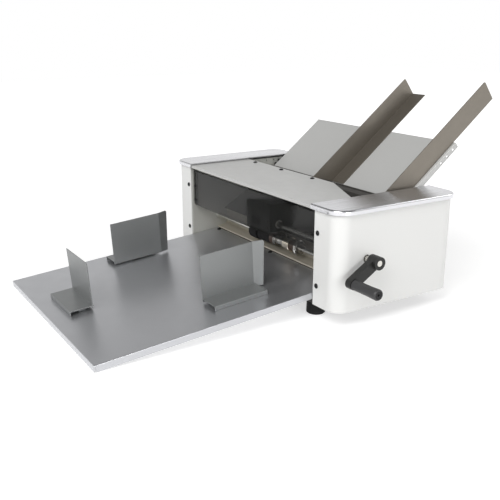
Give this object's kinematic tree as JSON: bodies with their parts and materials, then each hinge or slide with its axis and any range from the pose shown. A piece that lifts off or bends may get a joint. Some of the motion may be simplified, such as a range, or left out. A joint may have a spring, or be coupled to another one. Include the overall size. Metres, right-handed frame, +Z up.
{
  "type": "rotary perforator",
  "caption": "Hand-cranked table-top rotary perforator with inclined feed table, side guides, tinted window, grooved and toothed wheels, and a sloping delivery tray",
  "frame": {"origin": "centre of the outline's base, on the table top", "axes": "+X to the crank side, +Y from the delivery tray towards the feed table, +Z up"},
  "size_m": [0.7028, 0.8809, 0.4092],
  "materials": {
    "housing_paint": "smooth semi-gloss",
    "cover_paint": "fine satin",
    "cap_chrome": "polished",
    "tray_paint": "fine satin",
    "guide_paint": "satin",
    "feed_guide_paint": "satin",
    "frame_steel": "plated",
    "dark_steel": "matte",
    "shaft_steel": "ground",
    "black_steel": "black oxide",
    "black_plastic": "fine grain",
    "grip_plastic": "satin",
    "black_rubber": "matte",
    "brown_plastic": "matte",
    "ring_steel": "ground",
    "wheel_chrome": "polished",
    "pale_sheet": "satin",
    "smoked_acrylic": "tinted clear"
  },
  "bodies": {
    "chassis": {"right_side_frame": "frame_steel", "left_side_frame": "frame_steel", "base_pan": "dark_steel", "feet": "black_rubber", "right_housing": "housing_paint", "left_housing": "housing_paint", "right_cap": "cap_chrome", "left_cap": "cap_chrome", "housing_screws": "black_steel", "top_cover": "cover_paint", "cover_screws": "black_steel", "front_bar": "dark_steel", "cover_bar": "dark_steel", "rear_panel": "cover_paint", "feed_table": "cover_paint", "table_screws": "black_steel", "feed_chute": "dark_steel", "exit_plate": "pale_sheet", "tray_bar": "dark_steel", "delivery_tray": "tray_paint", "tray_screws": "black_steel", "perf_head": "black_plastic", "head_screws": "black_steel", "head_bushes": "frame_steel", "right_bushes": "frame_steel", "left_bushes": "frame_steel", "feed_belt": "black_rubber", "separator_arm": "black_plastic", "separator_pad": "black_rubber", "window_rod": "shaft_steel"},
    "crank": {"drive_shaft": "shaft_steel", "crank_arm": "black_plastic", "crank_set_screw": "black_steel", "grip_bolt": "black_steel", "crank_gear": "frame_steel", "perf_wheel": "shaft_steel", "perf_hub": "frame_steel", "pinch_tyre": "black_rubber"},
    "grip": {"crank_grip": "grip_plastic"},
    "anvil": {"anvil_shaft": "shaft_steel", "anvil_gear": "frame_steel", "drive_pulley": "frame_steel", "exit_tyres": "black_rubber", "tyre_sleeves": "shaft_steel", "spacer_sleeves": "brown_plastic", "anvil_wheel": "wheel_chrome", "press_ring": "ring_steel", "score_disc": "wheel_chrome"},
    "feed_roller": {"feed_shaft": "shaft_steel", "feed_tyres": "black_rubber", "feed_pulley": "frame_steel"},
    "knob": {"head_knob": "black_plastic"},
    "window": {"window_pane": "smoked_acrylic", "window_brackets": "dark_steel", "window_screws": "black_steel"},
    "left_feed_side": {"left_feed_guide": "feed_guide_paint"},
    "right_feed_side": {"right_feed_guide": "feed_guide_paint"},
    "left_delivery_side": {"left_delivery_guide": "guide_paint"},
    "right_delivery_side": {"right_delivery_guide": "guide_paint"},
    "delivery_end": {"end_stop": "guide_paint"}
  },
  "joints": [
    {"name": "crank_turn", "type": "hinge", "parent": "chassis", "child": "crank", "pos_m": [-0.04245, 0.04777, 0.123], "axis": [1, 0, 0], "continuous": true},
    {"name": "grip_spin", "type": "hinge", "parent": "crank", "child": "grip", "pos_m": [0.31755, -0.00253, 0.09217], "axis": [1, 0, 0], "continuous": true},
    {"name": "anvil_turn", "type": "hinge", "parent": "chassis", "child": "anvil", "pos_m": [-0.04245, 0.05637, 0.0865], "axis": [1, 0, 0], "continuous": true},
    {"name": "feed_turn", "type": "hinge", "parent": "chassis", "child": "feed_roller", "pos_m": [-0.04245, 0.19782, 0.16234], "axis": [1, 0, 0], "continuous": true},
    {"name": "head_knob_turn", "type": "hinge", "parent": "chassis", "child": "knob", "pos_m": [-0.01245, 0.08277, 0.155], "axis": [1, 0, 0], "range_deg": [-170, 170]},
    {"name": "window_swing", "type": "hinge", "parent": "chassis", "child": "window", "pos_m": [-0.04245, -0.00823, 0.204], "axis": [-1, 0, 0], "range_deg": [0, 85]},
    {"name": "left_feed_guide_slide", "type": "slide", "parent": "chassis", "child": "left_feed_side", "axis": [1, 0, 0], "range_m": [-0.22, 0.06]},
    {"name": "right_feed_guide_slide", "type": "slide", "parent": "chassis", "child": "right_feed_side", "axis": [1, 0, 0], "range_m": [-0.06, 0.005]},
    {"name": "left_delivery_guide_slide", "type": "slide", "parent": "chassis", "child": "left_delivery_side", "axis": [1, 0, 0], "range_m": [-0.02, 0.06]},
    {"name": "right_delivery_guide_slide", "type": "slide", "parent": "chassis", "child": "right_delivery_side", "axis": [1, 0, 0], "range_m": [-0.06, 0.045]},
    {"name": "end_stop_slide", "type": "slide", "parent": "chassis", "child": "delivery_end", "axis": [0, 0.9961, 0.0887], "range_m": [-0.028, 0.23]}
  ],
  "couplings": [
    {"joint": "anvil_turn", "follows": "crank_turn", "ratio": -1.5},
    {"joint": "feed_turn", "follows": "crank_turn", "ratio": -1.2}
  ]
}
